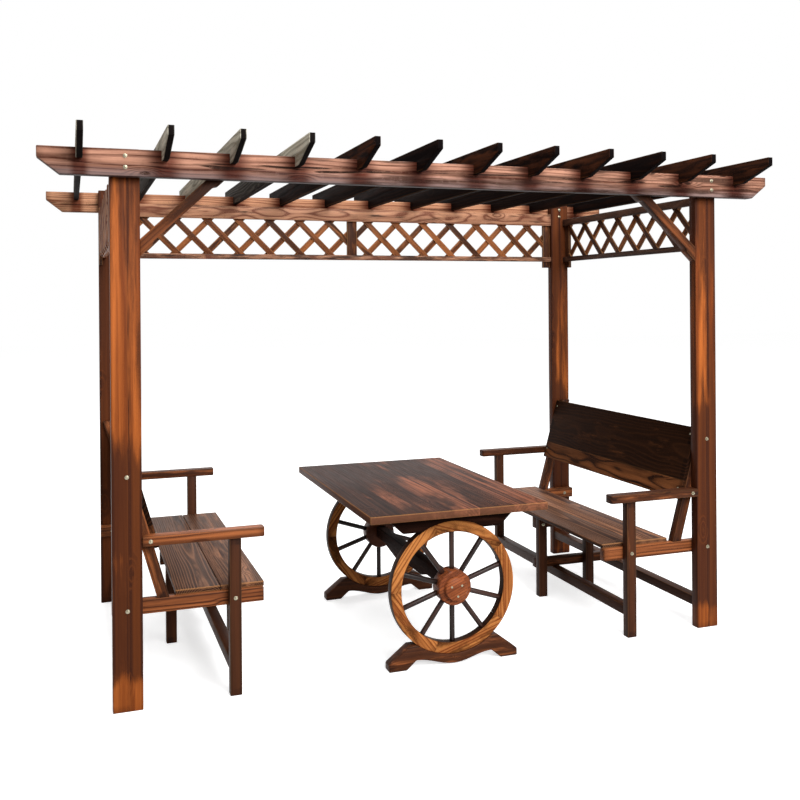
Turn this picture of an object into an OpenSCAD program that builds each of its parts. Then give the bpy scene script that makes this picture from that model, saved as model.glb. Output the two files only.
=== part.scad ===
// Garden pergola of varnished fir: four posts, two cross beams and twelve notched
// rafters, with lattice panels under the eaves, a bench along each end and a
// wagon-wheel table between them.
// Millimetres. +X runs along the beams, +Y to the back, +Z up. The origin is on the
// ground at the centre of the four posts.

/* [Posts and beams] */
// Width of a post along the beams
post_w = 110; // [80:1:130]
// Depth of a post across the beams
post_d = 46; // [40:1:90]
// Height of a post
post_h = 2108; // [1900:1:2500]
// Distance between post centres along the beams
post_span_x = 2600; // [2400:1:2640]
// Distance between post centres across the beams
post_span_y = 1376; // [1250:1:1700]
// Length of a beam
beam_l = 3214; // [3140:1:3700]
// Height of a beam
beam_h = 100; // [85:1:115]
// Thickness of a beam
beam_t = 48; // [35:1:70]
// How far the top of a post stands above its beam
post_rise = 8; // [0:1:40]
// Upright height left at a beam's end above its cut corner
beam_nose = 40; // [20:1:70]
// Length of the cut corner along the beam
beam_cut_l = 78; // [40:1:140]

/* [Rafters] */
// Length of a rafter
rafter_l = 1986; // [1900:1:2300]
// Thickness of a rafter
rafter_t = 24; // [18:1:40]
// Height of a rafter
rafter_h = 95; // [80:1:120]
// Depth of the notch that sits over a beam
rafter_notch = 40; // [20:1:50]
// Upright height left at a rafter's end above its cut corner
rafter_nose = 36; // [20:1:60]
// Length of the cut corner along the rafter
rafter_cut_l = 176; // [80:1:190]
// Distance from the left posts' inner faces to the middle of the next rafter
rafter_left_set = 88; // [30:1:150]
// Distance from the right posts' inner faces to the middle of the next rafter
rafter_right_set = 113; // [30:1:150]
// Distance from the beams' left ends to the middle of the end rafter
rafter_left_end = 146; // [90:1:185]
// Distance from the beams' right ends to the middle of the end rafter
rafter_right_end = 174; // [90:1:185]
// Play of a notch on each side of its beam
notch_fit = 0.5; // [0.2:0.1:2]

/* [Braces] */
// Width of a brace's board
brace_w = 48; // [35:1:70]
// Slope of a brace over the level
brace_angle = 43; // [35:1:55]
// How far a brace's lowest corner lies below the beam
brace_drop = 294; // [260:1:400]
// How far the underside of a brace is cut back between its ends
brace_relief = 9; // [4:1:15]
// Length of each end of a brace that keeps its full width, along the slope
brace_end = 62; // [40:1:90]
// Length of the slanted step between the end and the relief
brace_step = 14; // [6:1:30]
// Room between the top of a brace and the rafters
brace_gap = 10; // [2:1:30]

/* [Lattice panels] */
// Room between the top of the rear panel and the rafters
lattice_gap = 14; // [2:1:40]
// Height of the open field between the rails
lattice_field = 188; // [120:1:300]
// Height of a bottom rail
bottom_rail_h = 28; // [20:1:50]
// Height of the top rail of a side panel
side_rail_h = 38; // [25:1:60]
// Height of the top rail of the rear panel
rear_rail_h = 68; // [40:1:75]
// Thickness of the rails
lattice_rail_t = 18; // [12:1:20]
// Width of a lattice bar
bar_w = 31; // [20:1:45]
// Thickness of a lattice bar
bar_t = 8; // [5:1:10]
// Distance between bars along the rear panel
bar_pitch = 167; // [110:1:240]
// Distance between bars along a side panel
side_bar_pitch = 176; // [110:1:240]
// How far the bars lie on the rails
bar_lap = 22; // [10:1:27]
// Distance from the left end of each rear field to its first crossing
rear_bar_start = 150; // [0:1:166]
// Distance from the far end of a side field to its first crossing
side_bar_start = 85; // [0:1:170]
// Width of the batten that fixes a panel to a post
batten_w = 45; // [20:1:55]
// How far a batten reaches below the bottom rail
batten_drop = 36; // [10:1:60]
// Width of the stile in the middle of the rear panel
mid_stile_w = 56; // [30:1:90]
// Distance from the rear posts' inner faces to the rear panel
lattice_set = 5; // [0:1:8]
// Distance from the posts' outer faces to a side panel
side_lattice_set = 1; // [0:1:40]

/* [Benches] */
// Height of the seat over the ground
seat_z = 420; // [380:1:480]
// Thickness of the seat boards
seat_t = 20; // [15:1:30]
// Gap between the two seat boards
seat_joint = 2; // [0.5:0.5:10]
// Room between the seat and the back stiles
seat_gap = 23; // [2:1:60]
// How far the seat stands in front of the rail ends
seat_nose = 3; // [0:1:20]
// How far the seat's ends stay back from the outside of the rails
seat_inset = 12; // [0:1:30]
// Reach of a side rail from the post's inner face
bench_reach = 468; // [430:1:560]
// Height of the rails
rail_h = 55; // [40:1:80]
// Thickness of the rails and back stiles
rail_t = 38; // [30:1:60]
// Width of a leg along the rail
leg_w = 46; // [35:1:60]
// Depth of a leg across the rail
leg_d = 40; // [30:1:46]
// Distance from the rail's front end to the front leg
leg_set = 95; // [60:1:110]
// Height of the top of an arm over the seat
arm_rise = 230; // [180:1:300]
// Thickness of an arm
arm_t = 36; // [20:1:45]
// Width of an arm
arm_w = 55; // [42:1:75]
// How far an arm reaches in front of the leg
arm_nose = 90; // [20:1:120]
// Cut off the two corners at the front end of an arm
arm_clip = 7; // [2:1:20]
// Width of a back stile along the rail
stile_w = 46; // [35:1:60]
// Distance from the post to the foot of a back stile
stile_set = 57; // [50:1:80]
// Lean of the back from upright
back_lean = 16; // [8:1:18]
// Height of the top of a back stile over the seat
stile_rise = 510; // [430:1:580]
// Height of the lower edge of the back board over the seat
back_rise = 170; // [60:1:200]
// Width of the back board along its slope
back_h = 345; // [250:1:350]
// Thickness of the back board
back_t = 20; // [15:1:30]
// Room between the back board and the posts
back_play = 2; // [0.5:0.5:10]
// Height of a low stretcher
stretcher_h = 45; // [30:1:60]
// Width of a low stretcher
stretcher_w = 46; // [30:1:60]
// Height of the underside of the stretchers over the ground
stretcher_z = 95; // [60:1:160]
// Distance from the post's inner face to the back stretcher
back_stretcher_set = 4; // [0:1:20]
// Distance from the rail's front end to the middle front leg
mid_leg_set = 0; // [0:1:30]
// Distance from the seat's back edge to the middle back leg
mid_leg_back_set = 22; // [0:1:60]

/* [Table top and feet] */
// Sideways place of the table
table_x = 24; // [-100:1:100]
// Place of the table from front to back
table_y = -178; // [-250:1:100]
// Length of the table top
top_l = 1240; // [1150:1:1450]
// Width of the table top
top_w = 794; // [680:1:900]
// Thickness of the table top
top_t = 32; // [20:1:45]
// Thickness of a cleat under the top
cleat_t = 38; // [28:1:60]
// Height of a cleat above the rim that it sits on
cleat_web = 36; // [25:1:60]
// How far a cleat's cheeks come down beside the top of the rim
cleat_grip = 38; // [20:1:50]
// Length of a cleat's lower edge
cleat_low_l = 444; // [390:1:490]
// Length of a cleat's upper edge
cleat_high_l = 600; // [520:1:660]
// Length of a foot board
foot_l = 582; // [540:1:660]
// Thickness of a foot board
foot_t = 58; // [45:1:80]
// Height of a foot board at its shoulders
foot_h = 98; // [85:1:120]
// Length of a foot board's shoulders from end to end
foot_shoulder_l = 402; // [370:1:450]
// Height of a foot board at its tips
foot_tip_h = 30; // [15:1:40]
// Height of the wheel's lowest point over the ground
foot_seat = 43; // [42:1:60]
// Length of the flat pad at each end of a foot board
foot_pad_l = 77; // [50:1:90]
// Length of the slant between the pad and the arch
foot_slant_l = 43; // [25:1:50]
// Height of the arches in the lower edge
foot_arch_h = 36; // [20:1:38]
// Height of the belly between the arches
foot_belly_h = 4; // [0:0.5:8]

/* [Wheels] */
// Outer radius of a wheel
wheel_r = 279; // [265:1:300]
// Width of the rim from inside to outside
rim_w = 46; // [35:1:60]
// Thickness of the rim
rim_t = 43; // [36:1:58]
// Chamfer on the edges of the rim
rim_edge = 2; // [0.5:0.5:5]
// Saw joint between two felloes of the rim
felloe_joint = 0.6; // [0.4:0.1:0.8]
// Number of felloes in a rim
felloe_count = 5; // [4:1:6]
// Number of spokes in each felloe
felloe_spokes = 2; // [1:1:2]
// Diameter of a spoke
spoke_d = 22; // [14:1:26]
// Play around a spoke in its socket
spoke_fit = 0.2; // [0.1:0.05:0.4]
// Depth of a spoke's socket in the rim
rim_socket = 18; // [8:1:25]
// Depth of a spoke's socket in the hub
hub_socket = 22; // [10:1:28]
// Diameter of a hub
hub_d = 148; // [130:1:170]
// Length of a hub
hub_l = 75; // [60:1:100]
// Diameter of the cap on a hub
cap_d = 100; // [80:1:120]
// Thickness of the cap on a hub
cap_t = 22; // [8:1:30]
// Chamfer on the edges of a hub and its cap
hub_edge = 4; // [1:0.5:6]
// Distance between the wheels from middle to middle
wheel_span = 1000; // [900:1:1150]
// Width of the axle beam
axle_w = 46; // [35:1:65]
// Height of the axle beam
axle_h = 75; // [50:1:100]
// Height cut away under each end of the axle beam
axle_cut = 20; // [5:1:24]
// Length of the cut at each end of the axle beam
axle_cut_l = 190; // [100:1:230]
// Length of the wave between the cut and the full height
axle_wave_l = 100; // [40:1:150]

/* [Hidden] */

// Faces of the posts, measured from the centre
post_in_x = post_span_x / 2 - post_w / 2;
post_out_x = post_in_x + post_w;
post_in_y = post_span_y / 2 - post_d / 2;
post_out_y = post_in_y + post_d;

// Levels of the beams and braces, and the rafters' seats on the beams
beam_z = post_h - post_rise - beam_h;
brace_z = beam_z - brace_drop;
rafter_z = beam_z + beam_h - rafter_notch;

// Rafters between the posts, which stand evenly
inner_rafters = 10;
inner_rafter_x = rafter_left_set - post_in_x;
rafter_pitch = (2 * post_in_x - rafter_left_set - rafter_right_set) / (inner_rafters - 1);

// Levels and layers of the lattice panels
lattice_top_z = rafter_z - lattice_gap - rear_rail_h;
lattice_field_z = lattice_top_z - lattice_field;
lattice_z = lattice_field_z - bottom_rail_h;
lattice_depth = lattice_rail_t + 2 * bar_t;

// Lines of a bench, measured from the centre of the pergola
rail_z = seat_z - seat_t - rail_h;
rail_top = rail_z + rail_h;
rail_front_x = post_in_x - bench_reach;
seat_front_x = rail_front_x - seat_nose;
leg_x = rail_front_x + leg_set;
arm_x = leg_x - arm_nose;
arm_z = seat_z + arm_rise - arm_t;
stile_x = post_in_x - stile_set - stile_w;
seat_back_x = stile_x - seat_gap;
back_z = seat_z + back_rise;
stile_top = seat_z + stile_rise;
mid_leg_x = rail_front_x + mid_leg_set;
mid_back_leg_x = seat_back_x - mid_leg_back_set - leg_w;
back_stretcher_x = post_in_x + back_stretcher_set;
rail_y = post_in_y - rail_t;

// Levels of the table
wheel_z = foot_seat + wheel_r;
cleat_z = foot_seat + 2 * wheel_r - cleat_grip;
top_z = foot_seat + 2 * wheel_r + cleat_web;
rim_in_r = wheel_r - rim_w;

// Angles of the spokes and felloes of a wheel
spoke_count = felloe_count * felloe_spokes;
spoke_step = 360 / spoke_count;
felloe_step = 360 / felloe_count;

// Points along each wave of a scroll-cut edge
wave_points = 10;

// Margin for cuts that run right through
past = 1;

wood_post = "#8f4f2a";
wood_beam = "#96604a";
wood_rafter = "#2f2521";
wood_lattice = "#8a5530";
wood_bench = "#54301f";
wood_table = "#5d3c30";
wood_rim = "#bf7836";
wood_spoke = "#33221d";
wood_hub = "#8a4a28";

// An outline drawn in X and Z, given its thickness from y to y + t
module upright(y, t) {
    translate([0, y + t, 0])
        rotate([90, 0, 0])
            linear_extrude(height = t)
                children();
}

// A copy at the front and one at the back
module front_and_back() {
    children();
    mirror([0, 1, 0])
        children();
}

// The right bench is drawn, and the left one is its mirror image
module on_side(left) {
    mirror([left ? 1 : 0, 0, 0])
        children();
}

module post(x_side, y_side) {
    color(wood_post)
        translate([x_side * post_span_x / 2 - post_w / 2, y_side * post_span_y / 2 - post_d / 2, 0])
            cube([post_w, post_d, post_h]);
}

module beam_outline() {
    half = beam_l / 2;
    polygon([
        [-half + beam_cut_l, 0], [half - beam_cut_l, 0], [half, beam_h - beam_nose],
        [half, beam_h], [-half, beam_h], [-half, beam_h - beam_nose]
    ]);
}

module front_beam() {
    color(wood_beam)
        translate([0, 0, beam_z])
            upright(-post_out_y - beam_t, beam_t)
                beam_outline();
}

module rear_beam() {
    color(wood_beam)
        translate([0, 0, beam_z])
            upright(post_out_y, beam_t)
                beam_outline();
}

// Side of a rafter: slanted ends and a notch over each beam
module rafter_outline() {
    half = rafter_l / 2;
    difference() {
        polygon([
            [-half + rafter_cut_l, 0], [half - rafter_cut_l, 0], [half, rafter_h - rafter_nose],
            [half, rafter_h], [-half, rafter_h], [-half, rafter_h - rafter_nose]
        ]);
        for (side = [-1, 1])
            translate([side * (post_out_y + beam_t / 2), (rafter_notch - past) / 2])
                square([beam_t + 2 * notch_fit, rafter_notch + past], center = true);
    }
}

// The first and the last rafter stand near the ends of the beams
function rafter_x(i) =
    i == 0 ? rafter_left_end - beam_l / 2
    : i > inner_rafters ? beam_l / 2 - rafter_right_end
    : inner_rafter_x + (i - 1) * rafter_pitch;

module rafter(i) {
    color(wood_rafter)
        translate([rafter_x(i) + rafter_t / 2, 0, rafter_z])
            rotate([0, 0, 90])
                upright(0, rafter_t)
                    rafter_outline();
}

// A knee brace in its own plane: its lower end is cut upright against the post, its
// upper end level under the rafters, and its underside is cut back between the ends
module brace_outline() {
    rise = rafter_z - brace_gap - brace_z;
    run = rise / sin(brace_angle);
    intersection() {
        square([run, rise]);
        rotate(brace_angle)
            difference() {
                translate([-run, 0])
                    square([3 * run, brace_w]);
                polygon([
                    [brace_end, -past], [brace_end, 0],
                    [brace_end + brace_step, brace_relief],
                    [brace_relief_end() - brace_step, brace_relief],
                    [brace_relief_end(), 0], [brace_relief_end(), -past]
                ]);
            }
    }
}

// The relief ends as far below the beam as it starts above the post
function brace_relief_end() = brace_drop / sin(brace_angle) - brace_end / 2;

module front_braces() {
    color(wood_post)
        for (left = [true, false])
            on_side(left)
                translate([post_in_x, 0, brace_z])
                    mirror([1, 0, 0])
                        upright(-post_out_y, post_d)
                            brace_outline();
}

// Slanting bars of one layer, spaced from the left end of a field and cut to the field
module bar_layer(left, right, start, pitch, lean) {
    reach = lattice_field + 2 * bar_lap;
    count = ceil((right - left + reach) / pitch);
    intersection() {
        translate([left, lattice_field_z - bar_lap])
            square([right - left, reach]);
        for (i = [-2 : count])
            translate([left + start + i * pitch, lattice_field_z + lattice_field / 2])
                rotate(lean)
                    square([2 * reach, bar_w], center = true);
    }
}

// Rails of a panel, seen from inside with their face at y = 0, and the battens behind them
module panel_frame(length, top_rail_h) {
    height = lattice_top_z + top_rail_h - lattice_z;
    upright(0, lattice_rail_t) {
        translate([-length / 2, lattice_z])
            square([length, bottom_rail_h]);
        translate([-length / 2, lattice_top_z])
            square([length, top_rail_h]);
    }
    upright(lattice_rail_t, 2 * bar_t)
        for (side = [-1, 1])
            translate([side * (length - batten_w) / 2 - batten_w / 2, lattice_z - batten_drop])
                square([batten_w, height + batten_drop]);
}

// Two layers of bars that cross behind the rails
module panel_bars(left, right, start, pitch) {
    upright(lattice_rail_t, bar_t)
        bar_layer(left, right, start, pitch, -45);
    upright(lattice_rail_t + bar_t, bar_t)
        bar_layer(left, right, start, pitch, 45);
}

// The rear panel has two fields, with a stile between them behind the rails
module rear_lattice() {
    end = post_in_x - batten_w;
    color(wood_lattice)
        translate([0, post_in_y + lattice_set, 0]) {
            panel_frame(2 * post_in_x, rear_rail_h);
            upright(lattice_rail_t, 2 * bar_t)
                translate([-mid_stile_w / 2, lattice_field_z - bar_lap])
                    square([mid_stile_w, lattice_field + 2 * bar_lap]);
            panel_bars(-end, -mid_stile_w / 2, rear_bar_start, bar_pitch);
            panel_bars(mid_stile_w / 2, end, rear_bar_start, bar_pitch);
        }
}

// A side panel stands near the outer faces of the posts
module side_lattice(left) {
    end = post_in_y - batten_w;
    color(wood_lattice)
        on_side(left)
            translate([post_out_x - side_lattice_set - lattice_depth, 0, 0])
                rotate([0, 0, -90]) {
                    panel_frame(2 * post_in_y, side_rail_h);
                    panel_bars(-end, end, side_bar_start, side_bar_pitch);
                }
}

// Two boards side by side
module bench_seat(left) {
    seat_l = 2 * (post_in_y - seat_inset);
    board_w = (seat_back_x - seat_front_x - seat_joint) / 2;
    color(wood_bench)
        on_side(left)
            for (x = [seat_front_x, seat_back_x - board_w])
                translate([x, -seat_l / 2, rail_top])
                    cube([board_w, seat_l, seat_t]);
}

// Front face of the back stiles at height z
function stile_front(z) = stile_x + (z - rail_top) * tan(back_lean);

module bench_back(left) {
    half = post_in_y - back_play;
    color(wood_bench)
        on_side(left)
            upright(-half, 2 * half)
                translate([stile_front(back_z), back_z])
                    rotate(-back_lean)
                        translate([-back_t, 0])
                            square([back_t, back_h]);
}

module bench_back_stiles(left) {
    color(wood_bench)
        on_side(left)
            front_and_back()
                upright(rail_y, rail_t)
                    polygon([
                        [stile_x, rail_top], [stile_x + stile_w, rail_top],
                        [stile_front(stile_top) + stile_w, stile_top],
                        [stile_front(stile_top), stile_top]
                    ]);
}

// Two side rails against the posts, a bearer under the middle of the seat and a low
// cross rail that lies on both stretchers
module bench_rails(left) {
    color(wood_bench)
        on_side(left) {
            front_and_back()
                translate([rail_front_x, rail_y, rail_z])
                    cube([post_out_x - rail_front_x, rail_t, rail_h]);
            translate([rail_front_x, 0, rail_z])
                cube([seat_back_x - rail_front_x, rail_t, rail_h]);
            translate([mid_leg_x, 0, stretcher_z + stretcher_h])
                cube([back_stretcher_x + stretcher_w - mid_leg_x, rail_t, stretcher_h]);
        }
}

// An arm seen from above, with the corners of its front end cut off
module arm_outline() {
    length = post_in_x - arm_x;
    polygon([
        [0, arm_clip], [arm_clip, 0], [length, 0],
        [length, arm_w], [arm_clip, arm_w], [0, arm_w - arm_clip]
    ]);
}

module bench_arms(left) {
    color(wood_bench)
        on_side(left)
            front_and_back()
                translate([arm_x, post_in_y, arm_z])
                    linear_extrude(height = arm_t)
                        arm_outline();
}

module bench_legs(left) {
    color(wood_bench)
        on_side(left) {
            front_and_back()
                translate([leg_x, post_in_y, 0])
                    cube([leg_w, leg_d, arm_z]);
            for (x = [mid_leg_x, mid_back_leg_x])
                translate([x, -leg_d, 0])
                    cube([leg_w, leg_d, rail_top]);
        }
}

module bench_stretchers(left) {
    color(wood_bench)
        on_side(left)
            for (x = [leg_x, back_stretcher_x])
                translate([x, -post_in_y, stretcher_z])
                    cube([stretcher_w, 2 * post_in_y, stretcher_h]);
}

// Places what belongs to the table, which stands by itself
module at_table() {
    translate([table_x, table_y, 0])
        children();
}

// Places a wheel, drawn with its outer side to the front
module at_wheel(rear) {
    at_table()
        mirror([0, rear ? 1 : 0, 0])
            translate([0, -wheel_span / 2, 0])
                children();
}

module table_top() {
    color(wood_table)
        at_table()
            translate([-top_w / 2, -top_l / 2, top_z])
                cube([top_w, top_l, top_t]);
}

// A cleat with slanted ends and a round seat for the rim
module cleat_outline() {
    difference() {
        polygon([
            [-cleat_low_l / 2, cleat_z], [cleat_low_l / 2, cleat_z],
            [cleat_high_l / 2, top_z], [-cleat_high_l / 2, top_z]
        ]);
        translate([0, wheel_z])
            circle(r = wheel_r, $fn = 96);
    }
}

module table_cleats() {
    color(wood_spoke)
        for (rear = [false, true])
            at_wheel(rear)
                upright(-cleat_t / 2, cleat_t)
                    cleat_outline();
}

// A smooth wave of a scroll-cut edge from point a to point b
function wave(a, b) = [
    for (i = [0 : wave_points])
        let (t = i / wave_points)
        [a.x + t * (b.x - a.x), a.y + (b.y - a.y) * (1 - cos(180 * t)) / 2]
];

// Lower edge of a foot board from its middle outwards: a belly that rises in a smooth
// wave to an arch, then a slant down to the flat pad
module foot_half_outline() {
    arch_x = foot_l / 2 - foot_pad_l - foot_slant_l;
    polygon(concat(
        wave([0, foot_belly_h], [arch_x, foot_arch_h]),
        [
            [foot_l / 2 - foot_pad_l, 0], [foot_l / 2, 0], [foot_l / 2, foot_tip_h],
            [foot_shoulder_l / 2, foot_h], [0, foot_h]
        ]
    ));
}

module foot_outline() {
    difference() {
        union() {
            foot_half_outline();
            mirror([1, 0])
                foot_half_outline();
        }
        translate([0, wheel_z])
            circle(r = wheel_r, $fn = 96);
    }
}

module table_feet() {
    color(wood_bench)
        for (rear = [false, true])
            at_wheel(rear)
                upright(-foot_t / 2, foot_t)
                    foot_outline();
}

// Side of the axle beam, with its lower edge cut back in a wave towards each end
module axle_outline() {
    half = (wheel_span - hub_l) / 2;
    cut_x = half - axle_cut_l;
    polygon(concat(
        [[-half, axle_h], [-half, axle_cut]],
        wave([-cut_x, axle_cut], [axle_wave_l - cut_x, 0]),
        wave([cut_x - axle_wave_l, 0], [cut_x, axle_cut]),
        [[half, axle_cut], [half, axle_h]]
    ));
}

module table_axle() {
    color(wood_spoke)
        at_table()
            translate([axle_w / 2, 0, wheel_z - axle_h / 2])
                rotate([0, 0, 90])
                    upright(0, axle_w)
                        axle_outline();
}

// Half the section of a turned piece, with chamfered edges
module turned(r_in, r_out, length, edge) {
    polygon([
        [r_in, -length / 2 + edge], [r_in + edge, -length / 2],
        [r_out - edge, -length / 2], [r_out, -length / 2 + edge],
        [r_out, length / 2 - edge], [r_out - edge, length / 2],
        [r_in + edge, length / 2], [r_in, length / 2 - edge]
    ]);
}

// Spokes from radius r1 to r2, one of them upright
module spoke_set(d, r1, r2) {
    for (i = [0 : spoke_count - 1])
        rotate([0, 90 - i * spoke_step, 0])
            translate([r1, 0, 0])
                rotate([0, 90, 0])
                    cylinder(d = d, h = r2 - r1, $fn = 24);
}

// Five felloes with a saw joint between each pair, midway between two spokes, and
// two spoke sockets in each
module wheel_rim(rear) {
    color(wood_rim)
        at_wheel(rear)
            translate([0, 0, wheel_z])
                difference() {
                    rotate([90, 0, 0])
                        rotate_extrude($fn = 96)
                            turned(rim_in_r, wheel_r, rim_t, rim_edge);
                    for (i = [0 : felloe_count - 1])
                        rotate([0, -90 - spoke_step / 2 - i * felloe_step, 0])
                            translate([0, -rim_t / 2 - past, -felloe_joint / 2])
                                cube([wheel_r + past, rim_t + 2 * past, felloe_joint]);
                    spoke_set(spoke_d + 2 * spoke_fit, rim_in_r - rim_edge, rim_in_r + rim_socket);
                }
}

module wheel_spokes(rear) {
    color(wood_spoke)
        at_wheel(rear)
            translate([0, 0, wheel_z])
                spoke_set(spoke_d, hub_d / 2 - hub_socket, rim_in_r + rim_socket);
}

// Half the section of a hub with its cap, from the axle's end to the outer face
module hub_section() {
    r = hub_d / 2;
    cap_r = cap_d / 2;
    polygon([
        [0, -hub_l / 2], [r - hub_edge, -hub_l / 2], [r, -hub_l / 2 + hub_edge],
        [r, hub_l / 2 - hub_edge], [r - hub_edge, hub_l / 2], [cap_r, hub_l / 2],
        [cap_r, hub_l / 2 + cap_t - hub_edge], [cap_r - hub_edge, hub_l / 2 + cap_t],
        [0, hub_l / 2 + cap_t]
    ]);
}

module wheel_hubs() {
    color(wood_hub)
        for (rear = [false, true])
            at_wheel(rear)
                translate([0, 0, wheel_z])
                    difference() {
                        rotate([90, 0, 0])
                            rotate_extrude($fn = 64)
                                hub_section();
                        spoke_set(spoke_d + 2 * spoke_fit, hub_d / 2 - hub_socket, hub_d / 2 + past);
                    }
}

post(-1, -1);  // front_left_post
post(1, -1);  // front_right_post
post(-1, 1);  // rear_left_post
post(1, 1);  // rear_right_post
front_beam();
rear_beam();
rafter(0);  // rafter_01
rafter(1);  // rafter_02
rafter(2);  // rafter_03
rafter(3);  // rafter_04
rafter(4);  // rafter_05
rafter(5);  // rafter_06
rafter(6);  // rafter_07
rafter(7);  // rafter_08
rafter(8);  // rafter_09
rafter(9);  // rafter_10
rafter(10);  // rafter_11
rafter(11);  // rafter_12
front_braces();
rear_lattice();
side_lattice(true);  // left_lattice
side_lattice(false);  // right_lattice
bench_seat(true);  // left_bench_seat
bench_back(true);  // left_bench_back
bench_back_stiles(true);  // left_bench_back_stiles
bench_rails(true);  // left_bench_rails
bench_arms(true);  // left_bench_arms
bench_legs(true);  // left_bench_legs
bench_stretchers(true);  // left_bench_stretchers
bench_seat(false);  // right_bench_seat
bench_back(false);  // right_bench_back
bench_back_stiles(false);  // right_bench_back_stiles
bench_rails(false);  // right_bench_rails
bench_arms(false);  // right_bench_arms
bench_legs(false);  // right_bench_legs
bench_stretchers(false);  // right_bench_stretchers
table_top();
table_cleats();
table_feet();
table_axle();
wheel_rim(false);  // front_wheel_rim
wheel_spokes(false);  // front_wheel_spokes
wheel_rim(true);  // rear_wheel_rim
wheel_spokes(true);  // rear_wheel_spokes
wheel_hubs();
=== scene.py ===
import math

import bpy
import numpy as np
from mathutils import Matrix, Vector


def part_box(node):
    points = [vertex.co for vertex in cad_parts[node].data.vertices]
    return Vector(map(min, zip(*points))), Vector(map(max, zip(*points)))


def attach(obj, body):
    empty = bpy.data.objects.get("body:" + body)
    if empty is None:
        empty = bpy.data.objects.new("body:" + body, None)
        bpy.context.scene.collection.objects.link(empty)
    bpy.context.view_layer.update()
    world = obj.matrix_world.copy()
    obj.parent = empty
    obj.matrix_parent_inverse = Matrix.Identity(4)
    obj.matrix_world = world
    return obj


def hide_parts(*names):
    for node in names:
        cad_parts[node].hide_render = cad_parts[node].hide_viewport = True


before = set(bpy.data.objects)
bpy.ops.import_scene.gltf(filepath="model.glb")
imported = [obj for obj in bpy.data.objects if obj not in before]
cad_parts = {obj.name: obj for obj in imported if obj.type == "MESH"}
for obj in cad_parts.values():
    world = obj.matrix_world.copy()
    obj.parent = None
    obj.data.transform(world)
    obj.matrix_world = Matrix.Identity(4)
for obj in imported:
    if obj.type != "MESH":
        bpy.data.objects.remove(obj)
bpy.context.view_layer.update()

# Camera
# A 42 mm lens 1.5 m over the ground, some 3.6 m in front of the left posts, level and
# turned 19 degrees to the right. The picture's middle lies below the lens axis.
sensor_mm = 36.0
photo_px = 800.0
focal_px = 936.718
axis_px = 301.633
yaw, tilt, roll = 0.33897, 0.00016, 0.00745
stand = (-1.49641, -4.35649, 1.52883)
ahead = Vector((math.sin(yaw) * math.cos(tilt), math.cos(yaw) * math.cos(tilt), -math.sin(tilt)))
level = Vector((math.cos(yaw), -math.sin(yaw), 0.0))
down = ahead.cross(level)
right = math.cos(roll) * level + math.sin(roll) * down
down = math.cos(roll) * down - math.sin(roll) * level
lens = bpy.data.cameras.new("camera")
lens.sensor_width = sensor_mm
lens.lens = focal_px / photo_px * sensor_mm
lens.shift_y = (axis_px - photo_px / 2) / photo_px
camera = bpy.data.objects.new("camera", lens)
bpy.context.scene.collection.objects.link(camera)
turn = Matrix((right, -down, -ahead)).transposed().to_4x4()
camera.matrix_world = Matrix.Translation(stand) @ turn
bpy.context.scene.camera = camera

# Posts
# Four upright posts of scorched and varnished fir, each glued up from two boards. The flame
# left their lower halves dark, with an orange glow at the foot and above the arms.
same_point = 0.00002
same_plane = math.radians(0.5)
smooth_angle = math.radians(35)
golden_step = 0.618034


def only(*pieces):
    """Selects these pieces alone."""
    bpy.ops.object.select_all(action="DESELECT")
    for piece in pieces:
        piece.select_set(True)
    bpy.context.view_layer.objects.active = pieces[0]


def solid(node):
    """A copy of a node's solid, with its loose triangles merged to whole faces."""
    piece = bpy.data.objects.new(node + "_timber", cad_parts[node].data.copy())
    bpy.context.scene.collection.objects.link(piece)
    piece.data.materials.clear()
    only(piece)
    bpy.ops.object.mode_set(mode="EDIT")
    bpy.ops.mesh.select_all(action="SELECT")
    bpy.ops.mesh.remove_doubles(threshold=same_point)
    bpy.ops.mesh.dissolve_limited(angle_limit=same_plane)
    bpy.ops.object.mode_set(mode="OBJECT")
    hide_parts(node)
    return piece


def ease(piece, edge, sharp=30):
    """Takes off the sawn edges by a small rounding."""
    only(piece)
    rounding = piece.modifiers.new("rounding", "BEVEL")
    rounding.width = edge
    rounding.segments = 2
    rounding.limit_method = "ANGLE"
    rounding.angle_limit = math.radians(sharp)
    bpy.ops.object.modifier_apply(modifier=rounding.name)


def saw(piece, across, cuts):
    """Cuts a solid into the boards that it is glued up from, at planes across a direction."""
    across = Vector(across)
    planes = [None, *cuts, None]
    boards = [piece]
    for _ in cuts:
        board = piece.copy()
        board.data = piece.data.copy()
        bpy.context.scene.collection.objects.link(board)
        boards.append(board)
    for board, low, high in zip(boards, planes, planes[1:]):
        only(board)
        bpy.ops.object.mode_set(mode="EDIT")
        for spot, above in ((low, False), (high, True)):
            if spot is not None:
                bpy.ops.mesh.select_all(action="SELECT")
                bpy.ops.mesh.bisect(plane_co=across * spot, plane_no=across, use_fill=True,
                                    clear_outer=above, clear_inner=not above)
        bpy.ops.object.mode_set(mode="OBJECT")
    only(*boards)
    bpy.ops.object.join()


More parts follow.
